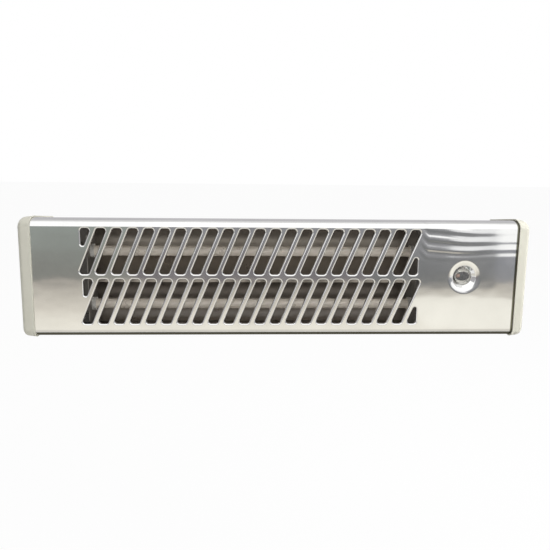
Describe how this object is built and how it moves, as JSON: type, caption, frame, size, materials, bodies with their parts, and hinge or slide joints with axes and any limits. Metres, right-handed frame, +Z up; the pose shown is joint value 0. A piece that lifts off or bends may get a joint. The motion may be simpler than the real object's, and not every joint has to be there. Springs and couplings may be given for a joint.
{
  "type": "wall heater",
  "caption": "Twin-tube quartz infrared heater in a slotted bright steel housing with plastic end caps, on a wall bracket that lets it tilt downwards.",
  "frame": {"origin": "middle of the wall screw pattern, on the wall", "axes": "+X along the heater, +Y into the wall, +Z up; the slotted front faces -Y"},
  "size_m": [0.523, 0.1217, 0.1282],
  "materials": {
    "bracket_steel": "zinc plated strip",
    "cover_steel": "bright polished stainless sheet",
    "chassis_steel": "zinc plated sheet",
    "cap_plastic": "smooth cream moulding",
    "reflector_sheet": "polished",
    "quartz": "milky satin quartz",
    "coil_wire": "oxidised resistance wire",
    "ceramic_white": "unglazed",
    "terminal_brass": "bright",
    "lens_clear": "clear, slightly smoky",
    "holder_plastic": "plain moulding",
    "neon_glass": "clear bulb",
    "switch_plastic": "plain moulding",
    "switch_white": "plain moulding",
    "grommet_rubber": "matt",
    "zinc_plated": "zinc plated",
    "lead_brown": "silicone sleeved lead",
    "lead_blue": "silicone sleeved lead",
    "lead_green": "silicone sleeved lead",
    "lead_grey": "silicone sleeved lead"
  },
  "bodies": {
    "wall_mount": {"wall_bracket": "bracket_steel", "pivot_washers": "zinc_plated"},
    "heater": {"front_cover": "cover_steel", "back_chassis": "chassis_steel", "end_cap_left": "cap_plastic", "end_cap_right": "cap_plastic", "reflector": "reflector_sheet", "tube_plate_left": "chassis_steel", "tube_plate_right": "chassis_steel", "quartz_tube_upper": "quartz", "quartz_tube_lower": "quartz", "heating_coil_upper": "coil_wire", "heating_coil_lower": "coil_wire", "ceramic_end_upper_left": "ceramic_white", "ceramic_end_lower_left": "ceramic_white", "ceramic_end_upper_right": "ceramic_white", "ceramic_end_lower_right": "ceramic_white", "tube_terminals": "terminal_brass", "lamp_lens": "lens_clear", "lamp_holder": "holder_plastic", "neon_bulb": "neon_glass", "switch_body": "switch_plastic", "switch_nut": "switch_white", "terminal_block": "holder_plastic", "terminal_screws": "terminal_brass", "cable_grommet": "grommet_rubber", "cable_clamp": "holder_plastic", "clamp_screws": "zinc_plated", "block_screw": "zinc_plated", "earth_screw": "terminal_brass", "earth_tag": "zinc_plated", "hinge_bracket_left": "bracket_steel", "hinge_bracket_right": "bracket_steel", "pivot_bolts": "zinc_plated", "cap_screws": "zinc_plated", "cover_screws": "zinc_plated", "plate_screws": "zinc_plated", "hinge_screws": "zinc_plated", "supply_lead": "lead_brown", "return_lead": "lead_blue", "link_lead": "lead_blue", "upper_live_lead": "lead_brown", "lower_live_lead": "lead_brown", "earth_lead": "lead_green", "lamp_leads": "lead_grey"},
    "pull_rod": {"switch_rod": "switch_white"},
    "left_wing_nut": {"wing_nut_left": "zinc_plated"},
    "right_wing_nut": {"wing_nut_right": "zinc_plated"}
  },
  "joints": [
    {"name": "tilt", "type": "hinge", "parent": "wall_mount", "child": "heater", "pos_m": [0, -0.028, 0], "axis": [1, 0, 0], "range_deg": [0, 35]},
    {"name": "pull", "type": "slide", "parent": "heater", "child": "pull_rod", "axis": [0, 0.0872, -0.9962], "range_m": [0, 0.008], "stiffness_N_per_m": 400},
    {"name": "left_nut_turn", "type": "hinge", "parent": "heater", "child": "left_wing_nut", "pos_m": [-0.1316, -0.028, 0], "axis": [1, 0, 0], "continuous": true},
    {"name": "right_nut_turn", "type": "hinge", "parent": "heater", "child": "right_wing_nut", "pos_m": [0.1316, -0.028, 0], "axis": [1, 0, 0], "continuous": true}
  ]
}
